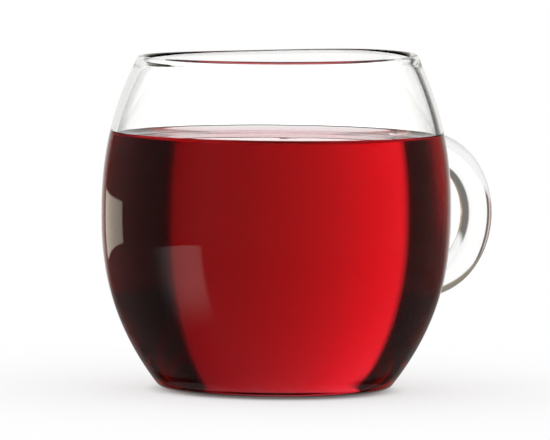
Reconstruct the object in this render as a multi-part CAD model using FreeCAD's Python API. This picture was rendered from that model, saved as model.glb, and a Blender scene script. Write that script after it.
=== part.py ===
import FreeCAD, Part
import math
import os
from FreeCAD import Vector

# A round-bellied clear glass tea mug with a solid glass-rod handle, filled with tea.
# Row frame: origin at the centre of the flat foot, +Z up, the handle along +X, mirror plane XZ.
# Millimetres throughout.

# ---- driving dimensions of the cup wall -------------------------------------------------
HEIGHT = 83.5            # foot to the top of the lip
BELLY_R = 43.7           # largest outer radius
BELLY_Z = 44.8           # height of the largest radius
RIM_R = 34.75            # outer radius that the side curve reaches at HEIGHT
SHOULDER_POWER = 2.22    # how late the side turns in above the belly
FOOT_SIDE_R = 29.6       # outer radius where the side curve meets the heel
FOOT_SIDE_Z = 1.6        # height of that point
FOOT_POWER = 2.36        # how late the side turns in below the belly
REST_R = 22.5            # radius of the flat disc that it stands on
WALL = 1.9               # wall thickness, square to the surface
BASE = 2.3               # glass under the drink
CORNER_START_Z = 6.6     # height on the outside where the inner corner starts
CORNER_IN = 3.0          # how far the inner corner reaches in beyond its tangent point
BEAD = 0.09              # how far the fire-polished lip swells on each side
BEAD_SPREAD = 1.4        # height over which the swelling fades

# ---- driving dimensions of the drink ----------------------------------------------------
TEA_LEVEL = 62.5         # height of the flat surface of the drink
MENISCUS_RISE = 3.0      # how far the drink climbs the wall
MENISCUS_REACH = 1.6     # length over which the climb fades

# ---- driving dimensions of the handle ---------------------------------------------------
ROD_R = 4.0              # radius of the solid glass rod
ROD_START_X = 40.0       # inside the wall; what reaches into the hollow is cut away with it
ROD_START_Z = 57.8       # height of the upper root
ROD_START_DEG = 25.0     # the rod leaves the cup rising by this angle
ROD_ARCS = ((17.6, 93.4), (16.7, 95.3), (39.2, 24.5))    # radius, turn in degrees; the last ends inside the cup
ROOT_FILLET = 1.5        # the melted-on glass round each root

SAMPLES = 28             # stations along each half of a side curve


# ---- the side curve, worked out from the sizes above ------------------------------------
def side(z):
    """Outer radius at height z, and its slope dr/dz."""
    if z >= BELLY_Z:
        drop, span, power = BELLY_R - RIM_R, HEIGHT - BELLY_Z, SHOULDER_POWER
        u = (z - BELLY_Z) / span
        return BELLY_R - drop * u ** power, -drop * power * u ** (power - 1) / span
    drop, span, power = BELLY_R - FOOT_SIDE_R, BELLY_Z - FOOT_SIDE_Z, FOOT_POWER
    u = (BELLY_Z - z) / span
    return BELLY_R - drop * u ** power, drop * power * u ** (power - 1) / span


def wall_point(z, depth, lip_z):
    """A point depth inside the side curve at height z, with the lip's bead; depth 0 is the outside."""
    r, slope = side(z)
    n = 1.0 / math.hypot(1.0, slope)
    swell = BEAD * math.exp(-((z - lip_z) / BEAD_SPREAD) ** 2)
    move = swell if depth == 0 else -depth - swell
    return Vector(r + move * n, 0, z - move * slope * n)


def lip_end():
    """The height on the side curve from which a half-round lip ends at HEIGHT."""
    low, high = HEIGHT - 6.0, HEIGHT
    for _ in range(60):
        z = 0.5 * (low + high)
        a, b = wall_point(z, 0, z), wall_point(z, WALL, z)
        top = 0.5 * (a.z + b.z) + 0.5 * a.distanceToPoint(b)
        low, high = (z, high) if top < HEIGHT else (low, z)
    return 0.5 * (low + high)


LIP_Z = lip_end()


def tangent(z):
    slope = side(z)[1]
    n = 1.0 / math.hypot(1.0, slope)
    return Vector(slope * n, 0, n)


def side_edge(depth, start_z):
    """A smooth edge up the side at this depth, denser towards the lip's bead."""
    points = [wall_point(start_z + (BELLY_Z - start_z) * i / SAMPLES, depth, LIP_Z) for i in range(SAMPLES)]
    bead_z = LIP_Z - 3.0 * BEAD_SPREAD
    points += [wall_point(BELLY_Z + (bead_z - BELLY_Z) * i / SAMPLES, depth, LIP_Z) for i in range(SAMPLES)]
    points += [wall_point(bead_z + (LIP_Z - bead_z) * i / 12.0, depth, LIP_Z) for i in range(13)]
    curve = Part.BSplineCurve()
    curve.interpolate(Points=points, InitialTangent=tangent(start_z), FinalTangent=tangent(LIP_Z))
    return curve.toShape(), points[0], points[-1]


def corner_edge(top, direction, floor_z, floor_r):
    """A bend, tangent to the side at top and to the level floor_z at floor_r."""
    meet = top - direction * ((top.z - floor_z) / direction.z)
    curve = Part.BezierCurve()
    curve.setPoles([Vector(floor_r, 0, floor_z), Vector(meet.x, 0, floor_z), top])
    return curve.toShape(), meet.x


def spun(edges):
    """The solid made by turning a closed outline about Z."""
    face = Part.Face(Part.Wire(Part.__sortEdges__(edges)))
    solid = face.revolve(Vector(0, 0, 0), Vector(0, 0, 1), 360)
    solid = Part.Solid(solid.Shells[0]) if solid.ShapeType != "Solid" else solid
    if solid.Volume < 0:
        solid.reverse()
    # the seam goes to the side away from the handle, so that each root is one closed edge
    solid.rotate(Vector(0, 0, 0), Vector(0, 0, 1), 180)
    return solid


axis = Vector(0, 0, 0)
outer, outer_low, outer_high = side_edge(0, FOOT_SIDE_Z)
heel, _ = corner_edge(outer_low, tangent(FOOT_SIDE_Z), 0.0, REST_R)
inner, inner_low, inner_high = side_edge(WALL, CORNER_START_Z)
corner_dir = tangent(CORNER_START_Z)
meet_r = (inner_low - corner_dir * ((inner_low.z - BASE) / corner_dir.z)).x
floor_r = meet_r - CORNER_IN
corner, _ = corner_edge(inner_low, corner_dir, BASE, floor_r)
middle = (outer_high + inner_high) * 0.5
crest = middle + tangent(LIP_Z) * (0.5 * outer_high.distanceToPoint(inner_high))
lip = Part.Arc(outer_high, crest, inner_high).toShape()

# the whole cup with nothing hollowed out: the outside, then straight across at the lip
across = Part.LineSegment(inner_high, Vector(0, 0, inner_high.z)).toShape()
down = Part.LineSegment(Vector(0, 0, inner_high.z), axis).toShape()
foot = Part.LineSegment(axis, Vector(REST_R, 0, 0)).toShape()
blank = spun([foot, heel, outer, lip, across, down])

# the hollow, up to the same level and then through the top
floor_edge = Part.LineSegment(Vector(0, 0, BASE), Vector(floor_r, 0, BASE)).toShape()
post = Part.LineSegment(Vector(0, 0, BASE), Vector(0, 0, inner_high.z)).toShape()
hollow = spun([floor_edge, corner, inner, across, post])

# ---- the handle: one rod along tangent arcs in the XZ plane -----------------------------
at = Vector(ROD_START_X, 0, ROD_START_Z)
heading = math.radians(ROD_START_DEG)
route = []
for radius, turn in ROD_ARCS:
    turn = math.radians(turn)
    centre = at + Vector(math.sin(heading), 0, -math.cos(heading)) * radius

    def on_arc(a):
        return centre + Vector(-math.sin(heading - a), 0, math.cos(heading - a)) * radius

    half, end = on_arc(0.5 * turn), on_arc(turn)
    route.append(Part.Arc(at, half, end).toShape())
    at, heading = end, heading - turn
path = Part.Wire(route)
start_dir = Vector(math.cos(math.radians(ROD_START_DEG)), 0, math.sin(math.radians(ROD_START_DEG)))
ring = Part.Wire(Part.makeCircle(ROD_R, Vector(ROD_START_X, 0, ROD_START_Z), start_dir))
rod = path.makePipeShell([ring], True, False)
if rod.Volume < 0:
    rod.reverse()

cup = blank.fuse(rod).removeSplitter()
if cup.ShapeType != "Solid":
    cup = cup.Solids[0]

# the melted-on glass where the rod meets the side: round each closed edge between the two surfaces
def is_root(edge):
    box = edge.BoundBox
    inside = box.XMin > 0.9 * side(FOOT_SIDE_Z + 18.0)[0] and box.XMax < BELLY_R + 0.5
    return inside and box.YLength > 0.3 * ROD_R and max(abs(box.YMin), abs(box.YMax)) < ROD_R + 0.5


roots = [e for e in cup.Edges if is_root(e)]
filleted = cup
if ROOT_FILLET > 0 and roots:
    try:
        trial = cup.makeFillet(ROOT_FILLET, roots)
        if trial.isValid() and trial.Volume > cup.Volume:
            filleted = trial if trial.ShapeType == "Solid" else trial.Solids[0]
    except Exception as problem:
        print("root fillet left out:", problem)

glass = filleted.cut(hollow)
glass = glass.Solids[0] if glass.ShapeType != "Solid" else glass

# ---- the drink: the hollow up to its level, with the surface climbing the wall ----------
wall_r = min(BELLY_R, side(TEA_LEVEL)[0]) - WALL
steps = 24
surface = []
for i in range(steps + 1):
    r = (wall_r + 1.5) * i / steps
    surface.append(Vector(r, 0, TEA_LEVEL + MENISCUS_RISE * math.exp((r - wall_r) / MENISCUS_REACH)))
top_curve = Part.BSplineCurve()
top_curve.interpolate(Points=surface, InitialTangent=Vector(1, 0, 0),
                      FinalTangent=Vector(1, 0, MENISCUS_RISE / MENISCUS_REACH * math.exp(1.5 / MENISCUS_REACH)))
rim_point, centre_point = surface[-1], surface[0]
above = spun([
    top_curve.toShape(),
    Part.LineSegment(rim_point, Vector(rim_point.x, 0, HEIGHT + 5)).toShape(),
    Part.LineSegment(Vector(rim_point.x, 0, HEIGHT + 5), Vector(0, 0, HEIGHT + 5)).toShape(),
    Part.LineSegment(Vector(0, 0, HEIGHT + 5), centre_point).toShape(),
])
tea = hollow.cut(above)
tea = tea.Solids[0] if tea.ShapeType != "Solid" else tea

# ---- write one STEP per piece -----------------------------------------------------------
os.makedirs("parts", exist_ok=True)
for name, solid in (("glass", glass), ("tea", tea)):
    box = solid.BoundBox
    print("%s: valid %s, closed %s, volume %.2f ml, x %.2f..%.2f y %.2f..%.2f z %.2f..%.2f, %d faces" % (
        name, solid.isValid(), solid.isClosed(), solid.Volume / 1000.0,
        box.XMin, box.XMax, box.YMin, box.YMax, box.ZMin, box.ZMax, len(solid.Faces)))
    solid.exportStep("parts/%s.step" % name)
shared = glass.common(tea)
print("overlap of glass and tea: %.4f mm3; brim volume %.1f ml; roots found %d; lip from %.2f; inner floor radius %.2f" % (
    shared.Volume, hollow.Volume / 1000.0, len(roots), LIP_Z, floor_r))
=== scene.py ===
import bpy, bmesh, math
from mathutils import Vector, Matrix
from mathutils.geometry import delaunay_2d_cdt


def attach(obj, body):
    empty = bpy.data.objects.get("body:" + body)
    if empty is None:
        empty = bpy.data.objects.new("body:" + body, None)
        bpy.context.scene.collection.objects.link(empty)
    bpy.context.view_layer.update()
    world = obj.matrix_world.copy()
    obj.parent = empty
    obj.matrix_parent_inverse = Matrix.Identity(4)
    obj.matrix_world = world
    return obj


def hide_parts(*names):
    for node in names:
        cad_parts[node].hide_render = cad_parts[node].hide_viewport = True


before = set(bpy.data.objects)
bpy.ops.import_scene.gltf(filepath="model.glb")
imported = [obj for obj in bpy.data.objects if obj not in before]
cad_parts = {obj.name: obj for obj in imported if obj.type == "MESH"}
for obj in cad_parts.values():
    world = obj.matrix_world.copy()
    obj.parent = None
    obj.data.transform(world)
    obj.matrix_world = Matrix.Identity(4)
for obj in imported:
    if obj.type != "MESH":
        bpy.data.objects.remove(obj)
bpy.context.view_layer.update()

# ------------------------------------------------------------------ sizes, in millimetres
HEIGHT, BELLY_R, BELLY_Z, RIM_R, SHOULDER_POWER = 83.5, 43.7, 44.8, 34.75, 2.22
FOOT_SIDE_R, FOOT_SIDE_Z, FOOT_POWER, REST_R = 29.6, 1.6, 2.36, 22.5
WALL, BASE, CORNER_START_Z, CORNER_IN = 1.9, 2.3, 6.6, 3.0
BEAD, BEAD_SPREAD = 0.09, 1.4
TEA_LEVEL, MENISCUS_RISE, CAPILLARY = 62.6, 1.7, 2.35   # the tea climbs the wetted wall in a capillary curve
ROD_R, ROD_START_X, ROD_START_Z, ROD_START_DEG = 4.0, 40.0, 57.8, 25.0
ROD_ARCS = ((17.6, 93.4), (16.7, 95.3), (39.2, 24.5))
ROOT_FILLET = 1.7
INTO_WALL = 0.22          # how far the tea's mesh reaches into the glass
RIM_LIFT = 1.2            # the blown rim stands a little higher over the handle
HANDLE_DEG = 0.0          # direction of the handle about +Z, from +X
VIEW_DEG = 38.0           # how far the handle is turned away from the camera
SEGMENTS = 192


# ------------------------------------------------------------------ the cup's side curve
def side(z):
    if z >= BELLY_Z:
        drop, span, power = BELLY_R - RIM_R, HEIGHT - BELLY_Z, SHOULDER_POWER
        u = (z - BELLY_Z) / span
        return BELLY_R - drop * u ** power, -drop * power * u ** (power - 1) / span
    drop, span, power = BELLY_R - FOOT_SIDE_R, BELLY_Z - FOOT_SIDE_Z, FOOT_POWER
    u = (BELLY_Z - z) / span
    return BELLY_R - drop * u ** power, drop * power * u ** (power - 1) / span


def wall_point(z, depth, lip_z):
    r, slope = side(z)
    n = 1.0 / math.hypot(1.0, slope)
    swell = BEAD * math.exp(-((z - lip_z) / BEAD_SPREAD) ** 2)
    move = swell if depth == 0 else -depth - swell
    return r + move * n, z - move * slope * n


def lip_end():
    low, high = HEIGHT - 6.0, HEIGHT
    for _ in range(60):
        z = 0.5 * (low + high)
        a, b = wall_point(z, 0, z), wall_point(z, WALL, z)
        top = 0.5 * (a[1] + b[1]) + 0.5 * math.dist(a, b)
        low, high = (z, high) if top < HEIGHT else (low, z)
    return 0.5 * (low + high)


LIP_Z = lip_end()


def tangent(z):
    slope = side(z)[1]
    n = 1.0 / math.hypot(1.0, slope)
    return slope * n, n


def bend(top, direction, floor_z, floor_r, count):
    """Points from the level floor_z at floor_r up to top, tangent to both."""
    meet = top[0] - direction[0] * (top[1] - floor_z) / direction[1]
    out = []
    for i in range(count + 1):
        t = i / count
        out.append(((1 - t) ** 2 * floor_r + 2 * (1 - t) * t * meet + t * t * top[0],
                    (1 - t) ** 2 * floor_z + 2 * (1 - t) * t * floor_z + t * t * top[1]))
    return out, meet


def side_heights(start, count):
    """Heights up the side, closer together at the lip's bead."""
    bead_z = LIP_Z - 3.0 * BEAD_SPREAD
    body = [start + (bead_z - start) * i / count for i in range(count)]
    return body + [bead_z + (LIP_Z - bead_z) * i / 12.0 for i in range(13)]


def outer_profile():
    heel, _ = bend(wall_point(FOOT_SIDE_Z, 0, LIP_Z), tangent(FOOT_SIDE_Z), 0.0, REST_R, 14)
    flat = [(REST_R * i / 7.0, 0.0) for i in range(7)]
    return flat + heel[:-1] + [wall_point(z, 0, LIP_Z) for z in side_heights(FOOT_SIDE_Z, 110)]


def inner_profile(into=0.0, top_z=None):
    """From the middle of the floor up the inside; into moves it into the glass."""
    depth = WALL - into
    top = wall_point(CORNER_START_Z, depth, LIP_Z)
    base_top = wall_point(CORNER_START_Z, WALL, LIP_Z)
    _, meet = bend(base_top, tangent(CORNER_START_Z), BASE, 0.0, 2)
    floor_r = meet - CORNER_IN
    corner, _ = bend(top, tangent(CORNER_START_Z), BASE - into, floor_r, 16)
    flat = [(floor_r * i / 8.0, BASE - into) for i in range(8)]
    return flat + corner[:-1] + [wall_point(z, depth, LIP_Z) for z in side_heights(CORNER_START_Z, 96)]


def lip_profile(a, b, count=16):
    """Half round from the outer end a over to the inner end b."""
    mid = ((a[0] + b[0]) / 2, (a[1] + b[1]) / 2)
    rad = math.dist(a, b) / 2
    t = tangent(LIP_Z)
    u = ((a[0] - mid[0]) / rad, (a[1] - mid[1]) / rad)
    return [(mid[0] + rad * (math.cos(w) * u[0] + math.sin(w) * t[0]),
             mid[1] + rad * (math.cos(w) * u[1] + math.sin(w) * t[1]))
            for w in [math.pi * i / count for i in range(1, count)]]


def lifted(x, y, z):
    """The blown rim isn't quite level: it stands higher on the handle's side."""
    w = max(0.0, (z - 58.0) / (HEIGHT - 58.0))
    off = math.degrees(math.atan2(y, x)) - 5.0
    return z + w * w * (RIM_LIFT * math.exp(-(off / (48.0 if off > 0 else 88.0)) ** 2) - 0.2)


# ------------------------------------------------------------------ the handle's line
def rod_at(s):
    """Point and heading of the rod's centre line at arc length s, in the XZ plane."""
    x, z, head = ROD_START_X, ROD_START_Z, math.radians(ROD_START_DEG)
    for i, (radius, turn) in enumerate(ROD_ARCS):
        turn = math.radians(turn)
        length = radius * turn
        a = min(s, length) / radius if (s < length or i == len(ROD_ARCS) - 1) else turn
        cx, cz = x + radius * math.sin(head), z - radius * math.cos(head)
        if s <= length or i == len(ROD_ARCS) - 1:
            a = s / radius
            return cx - radius * math.sin(head - a), cz + radius * math.cos(head - a), head - a
        x, z, head = cx - radius * math.sin(head - turn), cz + radius * math.cos(head - turn), head - turn
        s -= length


ROD_LENGTH = sum(r * math.radians(t) for r, t in ROD_ARCS)


def around_rod(s, rho, alpha):
    """A point at distance rho from the rod's line; alpha 0 is the outside of the bend."""
    x, z, head = rod_at(s)
    nx, nz = -math.sin(head), math.cos(head)
    return Vector((x + rho * math.cos(alpha) * nx, rho * math.sin(alpha), z + rho * math.cos(alpha) * nz))


def outside_cup(p):
    return math.hypot(p.x, p.y) - side(min(max(p.z, FOOT_SIDE_Z), HEIGHT))[0]


def meets_cup(rho, alpha, low, high):
    """Arc length at which a line beside the rod passes through the cup's outside."""
    f_low = outside_cup(around_rod(low, rho, alpha))
    for _ in range(50):
        mid = 0.5 * (low + high)
        if (outside_cup(around_rod(mid, rho, alpha)) < 0) == (f_low < 0):
            low = mid
        else:
            high = mid
    return 0.5 * (low + high)


# ------------------------------------------------------------------ meshes
def spin(profile, verts, faces, closed_start, closed_end):
    """Adds a lathe of the profile (r, z); returns the index grid. A closed end is one point on the axis."""
    grid = []
    for i, (r, z) in enumerate(profile):
        if (i == 0 and closed_start) or (i == len(profile) - 1 and closed_end):
            verts.append((0.0, 0.0, z))
            grid.append([len(verts) - 1] * SEGMENTS)
            continue
        row = []
        for k in range(SEGMENTS):
            # half a step off, so that no column of points lies in the handle's plane
            a = 2 * math.pi * (k + 0.5) / SEGMENTS
            x, y = r * math.cos(a), r * math.sin(a)
            verts.append((x, y, lifted(x, y, z)))
            row.append(len(verts) - 1)
        grid.append(row)
    for i in range(len(profile) - 1):
        for k in range(SEGMENTS):
            m = (k + 1) % SEGMENTS
            q = [grid[i][k], grid[i][m], grid[i + 1][m], grid[i + 1][k]]
            q = [v for j, v in enumerate(q) if v != q[j - 1]]
            faces.append(tuple(q))
    return grid


def finish_mesh(name, verts, faces, turn_deg):
    me = bpy.data.meshes.new(name)
    me.from_pydata([tuple(c * 0.001 for c in v) for v in verts], [], faces)
    me.update()
    bm = bmesh.new()
    bm.from_mesh(me)
    loose = [v for v in bm.verts if not v.link_faces]
    bmesh.ops.delete(bm, geom=loose, context="VERTS")
    bmesh.ops.recalc_face_normals(bm, faces=bm.faces)
    bmesh.ops.rotate(bm, verts=bm.verts, cent=(0, 0, 0), matrix=Matrix.Rotation(math.radians(turn_deg), 3, "Z"))
    for f in bm.faces:
        f.smooth = True
    open_edges = sum(1 for e in bm.edges if len(e.link_faces) != 2)
    print(f"{name}: {len(bm.verts)} verts, {sum(len(f.verts) - 2 for f in bm.faces)} triangles, {open_edges} open edges, volume {bm.calc_volume() * 1e6:.2f} ml")
    bm.to_mesh(me)
    bm.free()
    ob = bpy.data.objects.new(name, me)
    bpy.context.scene.collection.objects.link(ob)
    return ob


def make_glass():
    verts, faces = [], []
    outer = outer_profile()
    inner = inner_profile()
    lip = lip_profile(outer[-1], inner[-1])
    profile = outer + lip + inner[::-1]
    spin(profile, verts, faces, True, True)
    n_alpha, n_fillet, n_tube = 64, 9, 150

    roots = []
    for low, high, step in ((0.0, 9.0, 1.0), (ROD_LENGTH, ROD_LENGTH - 20.0, -1.0)):
        rings = [[] for _ in range(n_fillet + 1)]
        ends = []
        for k in range(n_alpha):
            alpha = 2 * math.pi * k / n_alpha
            s_foot = meets_cup(ROD_R + ROOT_FILLET, alpha, low, high)
            s_corner = meets_cup(ROD_R, alpha, low, high)
            s_rod = s_corner + step * ROOT_FILLET * 1.1
            foot = around_rod(s_foot, ROD_R + ROOT_FILLET, alpha)
            corner = around_rod(s_corner, ROD_R, alpha)
            rod = around_rod(s_rod, ROD_R, alpha)
            for j in range(n_fillet + 1):
                t = j / n_fillet
                rings[j].append(foot * (1 - t) ** 2 + corner * 2 * t * (1 - t) + rod * t * t)
            ends.append(s_rod)
        index = []
        for ring in rings:
            start = len(verts)
            verts.extend((p.x, p.y, p.z) for p in ring)
            index.append(list(range(start, start + n_alpha)))
        for j in range(n_fillet):
            for k in range(n_alpha):
                m = (k + 1) % n_alpha
                faces.append((index[j][k], index[j][m], index[j + 1][m], index[j + 1][k]))
        roots.append((index, ends, low, high))

    # the free length of the rod, from one fillet to the other
    (top_index, top_ends, _, _), (low_index, low_ends, _, _) = roots
    last = top_index[-1]
    for j in range(1, n_tube + 1):
        if j == n_tube:
            now = low_index[-1]
        else:
            t = j / n_tube
            start = len(verts)
            for k in range(n_alpha):
                s = top_ends[k] * (1 - t) + low_ends[k] * t
                p = around_rod(s, ROD_R, 2 * math.pi * k / n_alpha)
                verts.append((p.x, p.y, p.z))
            now = list(range(start, start + n_alpha))
        for k in range(n_alpha):
            m = (k + 1) % n_alpha
            faces.append((last[k], last[m], now[m], now[k]))
        last = now

    # open the cup's outside round each root, and close it again up to the fillet's foot
    for index, _, low, high in roots:
        samples = [rod_at(low + (high - low) * i / 60.0) for i in range(61)]
        foot_ring = index[0]
        limit = ROD_R + ROOT_FILLET + 0.45

        def near(v):
            x, y, z = verts[v]
            if x < 0 or math.hypot(x, y) < side(min(max(z, FOOT_SIDE_Z), HEIGHT))[0] - 0.4:
                return False
            return min((x - sx) ** 2 + (z - sz) ** 2 for sx, sz, _ in samples) + y * y < limit * limit

        cup_faces, kept, cut = len(faces), [], []
        inside = {}
        for f in faces:
            if any(i >= foot_ring[0] and i <= index[-1][-1] for i in f):
                kept.append(f)
                continue
            hit = False
            for v in f:
                if v not in inside:
                    inside[v] = near(v) if v < first_root_vertex(roots) else False
                hit = hit or inside[v]
            (cut if hit else kept).append(f)
        count = {}
        for f in cut:
            for j, v in enumerate(f):
                w = f[(j + 1) % len(f)]
                key = (min(v, w), max(v, w))
                count[key] = count.get(key, 0) + 1
        border = [e for e, c in count.items() if c == 1]
        border_verts = sorted({v for e in border for v in e})
        all_verts = border_verts + foot_ring
        place = {v: i for i, v in enumerate(all_verts)}

        def flat(v):
            x, y, z = verts[v]
            return Vector((math.atan2(y, x) * BELLY_R, z))

        flats = [flat(v) for v in all_verts]
        edges = [(place[a], place[b]) for a, b in border]
        n = len(foot_ring)
        edges += [(place[foot_ring[k]], place[foot_ring[(k + 1) % n]]) for k in range(n)]
        out_verts, _, out_faces, orig, _, _ = delaunay_2d_cdt(flats, edges, [], 0, 1e-7)
        ring_poly = [flat(v) for v in foot_ring]
        loop_next = {}
        for a, b in border:
            loop_next.setdefault(a, []).append(b)
            loop_next.setdefault(b, []).append(a)
        loop, prev, at = [border_verts[0]], None, border_verts[0]
        while True:
            options = [v for v in loop_next[at] if v != prev]
            prev, at = at, options[0]
            if at == loop[0]:
                break
            loop.append(at)
        hole_poly = [flat(v) for v in loop]

        def within(p, poly):
            odd = False
            for j in range(len(poly)):
                a, b = poly[j - 1], poly[j]
                if (a.y > p.y) != (b.y > p.y) and p.x < (b.x - a.x) * (p.y - a.y) / (b.y - a.y) + a.x:
                    odd = not odd
            return odd

        for tri in out_faces:
            c = sum((out_verts[i] for i in tri), Vector((0.0, 0.0))) / len(tri)
            if within(c, hole_poly) and not within(c, ring_poly):
                kept.append(tuple(all_verts[orig[i][0]] for i in tri))
        faces = kept
    return finish_mesh("mug_glass", verts, faces, HANDLE_DEG)


def first_root_vertex(roots):
    return roots[0][0][0][0]


def make_tea():
    verts, faces = [], []

    def reach(h):
        """Distance from the wall at which the capillary surface stands h above the level."""
        def run(t):
            return CAPILLARY * math.acosh(2 * CAPILLARY / t) - math.sqrt(4 * CAPILLARY ** 2 - t * t)
        return run(h) - run(MENISCUS_RISE)

    contact_z = TEA_LEVEL + MENISCUS_RISE
    edge = wall_point(contact_z, WALL - INTO_WALL, LIP_Z)
    # the surface leaves the glass at the wall's inside, and goes on a little way into the glass
    wall_r = wall_point(contact_z, WALL, LIP_Z)[0]
    up = [p for p in inner_profile(INTO_WALL) if p[1] < edge[1] - 0.2]
    climb = [MENISCUS_RISE * (1 - i / 34.0) ** 1.25 for i in range(1, 34)]
    top = [(wall_r, contact_z)] + [(wall_r - reach(h), TEA_LEVEL + h) for h in climb if reach(h) < 11.0]
    rim_r, rim_z = top[-1]
    top += [(rim_r * (1 - i / 24.0), TEA_LEVEL + (rim_z - TEA_LEVEL) * (1 - i / 24.0) ** 6) for i in range(1, 25)]
    spin(up + [edge] + top, verts, faces, True, True)
    return finish_mesh("tea_liquid", verts, faces, HANDLE_DEG)


# ------------------------------------------------------------------ materials
def new_material(name):
    m = bpy.data.materials.new(name)
    m.use_nodes = True
    m.node_tree.nodes.clear()
    return m, m.node_tree.nodes, m.node_tree.links


def glass_material():
    m, n, l = new_material("clear_glass")
    out = n.new("ShaderNodeOutputMaterial")
    b = n.new("ShaderNodeBsdfPrincipled")
    b.inputs["Base Color"].default_value = (0.985, 0.99, 0.982, 1)
    b.inputs["Roughness"].default_value = 0.0
    b.inputs["IOR"].default_value = 1.47
    b.inputs["Transmission Weight"].default_value = 1.0
    # where the tea wets the inside, glass against tea hardly mirrors
    wet = n.new("ShaderNodeAttribute")
    wet.attribute_name = "wet"
    dry = n.new("ShaderNodeMix")
    dry.data_type = "RGBA"
    dry.inputs[6].default_value = (1, 1, 1, 1)
    dry.inputs[7].default_value = (0.03, 0.03, 0.03, 1)
    l.new(wet.outputs["Fac"], dry.inputs["Factor"])
    l.new(dry.outputs[2], b.inputs["Specular Tint"])
    tc = n.new("ShaderNodeTexCoord")
    # the faint waviness of blown glass
    mp = n.new("ShaderNodeMapping")
    mp.inputs["Scale"].default_value = (1.0, 1.0, 0.55)
    noise = n.new("ShaderNodeTexNoise")
    noise.inputs["Scale"].default_value = 42.0
    noise.inputs["Detail"].default_value = 1.5
    bump = n.new("ShaderNodeBump")
    bump.inputs["Strength"].default_value = 0.05
    bump.inputs["Distance"].default_value = 0.002
    l.new(tc.outputs["Object"], mp.inputs["Vector"])
    l.new(mp.outputs["Vector"], noise.inputs["Vector"])
    l.new(noise.outputs["Fac"], bump.inputs["Height"])
    l.new(bump.outputs["Normal"], b.inputs["Normal"])
    l.new(b.outputs["BSDF"], out.inputs["Surface"])
    return m


def tea_material():
    m, n, l = new_material("red_tea")
    out = n.new("ShaderNodeOutputMaterial")
    b = n.new("ShaderNodeBsdfPrincipled")
    b.inputs["Base Color"].default_value = (1, 1, 1, 1)
    b.inputs["Roughness"].default_value = 0.0
    b.inputs["IOR"].default_value = 1.333
    b.inputs["Specular Tint"].default_value = (0.03, 0.03, 0.03, 1)
    b.inputs["Transmission Weight"].default_value = 1.0
    v = n.new("ShaderNodeVolumeAbsorption")
    v.inputs["Density"].default_value = 100.0
    v.inputs["Color"].default_value = (1 - 0.136, 1 - 0.88, 1 - 0.74, 1)
    l.new(b.outputs["BSDF"], out.inputs["Surface"])
    l.new(v.outputs["Volume"], out.inputs["Volume"])
    return m


# ------------------------------------------------------------------ the mug
glass = make_glass()
wet = glass.data.attributes.new("wet", "FLOAT", "POINT")
for v, w in zip(glass.data.vertices, wet.data):
    r, z = math.hypot(v.co.x, v.co.y) * 1000.0, v.co.z * 1000.0
    inside = r < side(min(max(z, FOOT_SIDE_Z), HEIGHT))[0] - 0.5 * WALL and z > 0.5 * BASE
    w.value = 1.0 if inside and z < TEA_LEVEL + MENISCUS_RISE else 0.0
glass.data.materials.append(glass_material())
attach(glass, "root")
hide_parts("glass")

tea = make_tea()
tea.data.materials.append(tea_material())
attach(tea, "root")
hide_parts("tea")

# ------------------------------------------------------------------ camera
E_DEG, DISTANCE, PX_PER_MM = 3.77, 1.6, 4.0
CENTRE = Vector((0, 0, 0.042))
azimuth = math.radians(HANDLE_DEG - VIEW_DEG)
elevation = math.radians(E_DEG)
back = Vector((math.sin(azimuth) * math.cos(elevation), -math.cos(azimuth) * math.cos(elevation), math.sin(elevation)))
cam_data = bpy.data.cameras.new("camera")
cam_data.sensor_width = 36.0
cam_data.lens = 36.0 * DISTANCE / (550.0 / PX_PER_MM / 1000.0)
cam_data.shift_x = -1.14 / 550.0
cam_data.shift_y = 1.8 / 550.0
cam_data.clip_start, cam_data.clip_end = 0.05, 20.0
cam = bpy.data.objects.new("camera", cam_data)
cam.location = CENTRE + back * DISTANCE
cam.rotation_mode = "QUATERNION"
cam.rotation_quaternion = (-back).to_track_quat("-Z", "Y") @ Matrix.Rotation(math.radians(0.6), 4, "Z").to_quaternion()
bpy.context.scene.collection.objects.link(cam)
bpy.context.scene.camera = cam

# ------------------------------------------------------------------ floor
bm = bmesh.new()
bmesh.ops.create_circle(bm, cap_ends=True, segments=96, radius=0.60)
floor_mesh = bpy.data.meshes.new("floor")
bm.to_mesh(floor_mesh)
bm.free()
floor = bpy.data.objects.new("floor", floor_mesh)
floor.location = (0, 0, -0.00006)
bpy.context.scene.collection.objects.link(floor)
m, n, l = new_material("floor")
out = n.new("ShaderNodeOutputMaterial")
dif = n.new("ShaderNodeBsdfDiffuse")
dif.inputs["Color"].default_value = (0.42, 0.42, 0.42, 1)
# the floor glows evenly white, except round the mug's foot where the glow fades out: a painted contact shadow
glow_with_painted_shadow = n.new("ShaderNodeEmission")
glow_with_painted_shadow.inputs["Color"].default_value = (1, 1, 1, 1)
lit = n.new("ShaderNodeAddShader")
# glow strength, none within 21 mm of the centre and full beyond 34 mm: the painted contact shadow round the foot
foot = n.new("ShaderNodeMapRange"); foot.interpolation_type = "SMOOTHSTEP"
foot.inputs["From Min"].default_value = 0.021
foot.inputs["From Max"].default_value = 0.034
foot.inputs["To Max"].default_value = 0.60
clear = n.new("ShaderNodeBsdfTransparent")
mix = n.new("ShaderNodeMixShader")
tc = n.new("ShaderNodeTexCoord")
ln = n.new("ShaderNodeVectorMath"); ln.operation = "LENGTH"
mr = n.new("ShaderNodeMapRange"); mr.interpolation_type = "SMOOTHSTEP"
mr.inputs["From Min"].default_value = 0.07
mr.inputs["From Max"].default_value = 0.26
l.new(tc.outputs["Object"], ln.inputs[0])
l.new(ln.outputs["Value"], mr.inputs["Value"])
l.new(ln.outputs["Value"], foot.inputs["Value"])
l.new(foot.outputs["Result"], glow_with_painted_shadow.inputs["Strength"])
l.new(mr.outputs["Result"], mix.inputs["Fac"])
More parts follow.
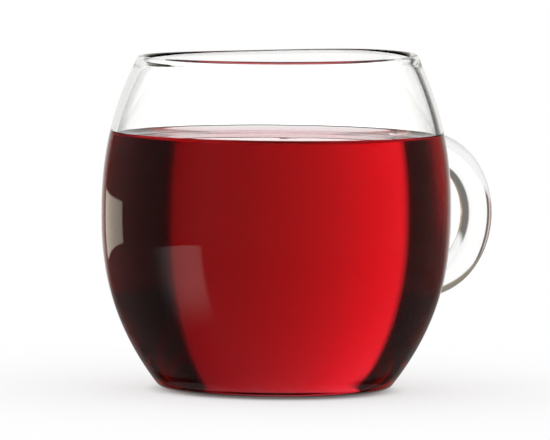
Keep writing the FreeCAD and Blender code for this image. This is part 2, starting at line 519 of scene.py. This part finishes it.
l.new(dif.outputs["BSDF"], lit.inputs[0])
l.new(glow_with_painted_shadow.outputs["Emission"], lit.inputs[1])
l.new(lit.outputs["Shader"], mix.inputs[1])
l.new(clear.outputs["BSDF"], mix.inputs[2])
l.new(mix.outputs["Shader"], out.inputs["Surface"])
floor.data.materials.append(m)
floor.visible_glossy = False

# ------------------------------------------------------------------ studio light: white cards and dark gaps all round, at infinity
world = bpy.data.worlds.new("studio")
bpy.context.scene.world = world
world.use_nodes = True
n, l = world.node_tree.nodes, world.node_tree.links
n.clear()


def math_node(op, a, b=None, clamp=False):
    node = n.new("ShaderNodeMath")
    node.operation = op
    node.use_clamp = clamp
    for i, v in enumerate((a, b)):
        if v is None:
            continue
        if isinstance(v, (int, float)):
            node.inputs[i].default_value = v
        else:
            l.new(v, node.inputs[i])
    return node.outputs[0]


def step_node(value, low, high):
    """0 below low, 1 above high, smooth between."""
    node = n.new("ShaderNodeMapRange")
    node.interpolation_type = "SMOOTHSTEP"
    node.inputs["From Min"].default_value = low
    node.inputs["From Max"].default_value = high
    l.new(value, node.inputs["Value"])
    return node.outputs["Result"]


def window(value, low, high, soft):
    """1 between low and high, with soft edges."""
    return math_node("MULTIPLY", step_node(value, low - soft, low + soft),
                     math_node("SUBTRACT", 1.0, step_node(value, high - soft, high + soft)))


def curve_node(value, stops):
    """A light colour that follows (angle, level, warmth) stops; angles from -180 to 180."""
    ramp = n.new("ShaderNodeValToRGB")
    ramp.color_ramp.interpolation = "LINEAR"
    cr = ramp.color_ramp
    while len(cr.elements) > 1:
        cr.elements.remove(cr.elements[-1])
    for i, (a, v, w) in enumerate(stops):
        e = cr.elements[0] if i == 0 else cr.elements.new((a + 180.0) / 360.0)
        e.position = (a + 180.0) / 360.0
        e.color = (v / 4.0, v * (1.0 - 0.36 * w) / 4.0, v * (1.0 - 0.72 * w) / 4.0, 1)
    l.new(math_node("DIVIDE", math_node("ADD", value, 180.0), 360.0), ramp.inputs["Fac"])
    scale = n.new("ShaderNodeVectorMath")
    scale.operation = "SCALE"
    scale.inputs["Scale"].default_value = 4.0
    l.new(ramp.outputs["Color"], scale.inputs[0])
    return scale.outputs[0]


def mix_colour(a, b, fac):
    """a where fac is 0, b where it is 1; each is a socket or a grey level."""
    node = n.new("ShaderNodeMix")
    node.data_type = "RGBA"
    l.new(fac, node.inputs["Factor"])
    for sock, v in ((node.inputs[6], a), (node.inputs[7], b)):
        if isinstance(v, (int, float)):
            sock.default_value = (v, v, v, 1)
        elif isinstance(v, tuple):
            sock.default_value = v + (1,)
        else:
            l.new(v, sock)
    return node.outputs[2]


geo = n.new("ShaderNodeTexCoord")
turn = n.new("ShaderNodeMapping")
turn.vector_type = "POINT"
# after this turn, +Y is the way the main view looks
turn.inputs["Rotation"].default_value = (0, 0, -azimuth)
l.new(geo.outputs["Generated"], turn.inputs["Vector"])
sep = n.new("ShaderNodeSeparateXYZ")
l.new(turn.outputs["Vector"], sep.inputs["Vector"])
# degrees to the left of the main view's direction, and degrees above the horizon
left = math_node("MULTIPLY", math_node("ARCTAN2", math_node("MULTIPLY", sep.outputs["X"], -1.0), sep.outputs["Y"]), 180.0 / math.pi)
above = math_node("MULTIPLY", math_node("ARCSINE", sep.outputs["Z"]), 180.0 / math.pi)

# light that comes through the tea: a white card behind it, brighter to the left, with dark gaps beside it
through = curve_node(left, [
    (-180, 1.0, 0), (-95, 1.0, 0.2), (-80, 0.9, 0.5), (-68, 0.45, 0.8), (-58, 0.09, 0.8), (-48, 0.02, 0.5), (-24, 0.008, 0), (-20, 0.015, 0), (-18, 0.5, 0),
    (-10, 0.68, 0), (-5, 0.78, 0), (0, 0.98, 0), (5, 1.2, 0), (9, 1.42, 0), (15, 1.82, 0), (20, 2.05, 0), (25.8, 2.15, 0),
    (27.6, 0.08, 0), (31, 0.015, 0), (50, 0.03, 0.8), (60, 0.12, 0.9), (70, 0.5, 0.8), (82, 0.9, 0.5), (95, 1.0, 0.2), (180, 1.0, 0)])
# a lit strip to the left that only reaches the upper half
strip = math_node("MULTIPLY", window(left, 45.0, 62.0, 8.0), math_node("SUBTRACT", 1.0, step_node(above, -9.0, 3.0)))
through = mix_colour(through, (0.62, 0.40, 0.28), strip)
# light that comes through the clear rod: white, with dark gaps on either side
rod_through = curve_node(left, [
    (-180, 1.0, 0), (-96, 1.0, 0), (-86, 0.7, 0.5), (-74, 0.42, 0.9), (-56, 0.42, 1.0), (-47, 0.15, 0.2), (-22, 0.15, 0.05), (-17, 1.0, 0),
    (0, 1.08, 0), (29, 1.08, 0), (32, 0.16, 0.1), (41, 0.16, 0.1), (45, 0.7, 0.1), (53, 0.7, 0.2), (59, 0.36, 0.6), (78, 0.4, 0.7), (88, 0.9, 0.3), (100, 1.0, 0), (180, 1.0, 0)])
# what the outside mirrors: a dark room with a lit door and window
mirror = curve_node(left, [
    (-180, 0.12, 0), (-128, 0.12, 0), (-110, 0.04, 0), (-60, 0.03, 0.3), (60, 0.02, 0.3), (110, 0.03, 0), (128, 0.12, 0), (180, 0.12, 0)])
near = curve_node(left, [(-180, 0, 0), (-38, 0, 0), (-28, 0.12, 0.4), (-16, 0.6, 0.2), (0, 0.9, 0), (16, 0.6, 0.2), (27, 0.1, 0.4), (30, 0, 0), (180, 0, 0)])
near_high = n.new("ShaderNodeVectorMath")
near_high.operation = "SCALE"
l.new(near, near_high.inputs[0])
l.new(math_node("ADD", 0.25, math_node("MULTIPLY", 0.75, step_node(above, -9.0, -5.0))), near_high.inputs["Scale"])
both = n.new("ShaderNodeVectorMath")
l.new(mirror, both.inputs[0])
l.new(near_high.outputs[0], both.inputs[1])
mirror = both.outputs[0]
door = math_node("MULTIPLY", math_node("MULTIPLY", step_node(left, 84.0, 118.0), math_node("SUBTRACT", 1.0, step_node(left, 127.0, 131.0))),
                 math_node("MULTIPLY", step_node(above, -44.0, -22.0), math_node("SUBTRACT", 1.0, step_node(above, -9.9, -9.4))))
lit_card = math_node("MULTIPLY", window(left, 27.0, 58.0, 1.0), window(above, -7.5, -2.25, 0.15))
mirror = mix_colour(mirror, (1.1, 1.0, 0.95), door)
mirror = mix_colour(mirror, (1.5, 1.38, 1.15), lit_card)

# below the horizon there is the pale floor, above 60 degrees the soft top light
floor_part = math_node("SUBTRACT", 1.0, step_node(above, -16.0, -11.0))
top_part = step_node(above, 55.0, 65.0)
plain = math_node("ADD", floor_part, top_part, clamp=True)
through = mix_colour(through, 0.03, window(above, 25.0, 50.0, 2.0))
through = mix_colour(through, 0.95, math_node("ADD", math_node("SUBTRACT", 1.0, step_node(above, -32.0, -20.0)), top_part, clamp=True))
rod_through = mix_colour(rod_through, (0.30, 0.27, 0.22), window(above, 22.0, 58.0, 4.0))
rod_through = mix_colour(rod_through, 0.95, plain)
mirror = mix_colour(mirror, 0.6, top_part)
path = n.new("ShaderNodeLightPath")
# a ray crosses two surfaces through the rod, four through the empty glass, six where there is tea between
crossed = path.outputs["Transmission Depth"]
seen = mix_colour(rod_through, 1.4, math_node("GREATER_THAN", crossed, 2.5))
seen = mix_colour(seen, through, math_node("GREATER_THAN", crossed, 4.5))
level = mix_colour(0.97, seen, path.outputs["Is Transmission Ray"])
reflected = math_node("MULTIPLY", path.outputs["Is Glossy Ray"], path.outputs["Is Reflection Ray"])
level = mix_colour(level, mirror, reflected)
level = mix_colour(level, 1.0, path.outputs["Is Camera Ray"])
bg = n.new("ShaderNodeBackground")
l.new(level, bg.inputs["Color"])
wo = n.new("ShaderNodeOutputWorld")
l.new(bg.outputs["Background"], wo.inputs["Surface"])

sc = bpy.context.scene
sc.view_settings.view_transform = "Standard"
sc.view_settings.look = "None"
sc.cycles.max_bounces = 24
sc.cycles.transmission_bounces = 24
sc.cycles.glossy_bounces = 12
sc.cycles.transparent_max_bounces = 16
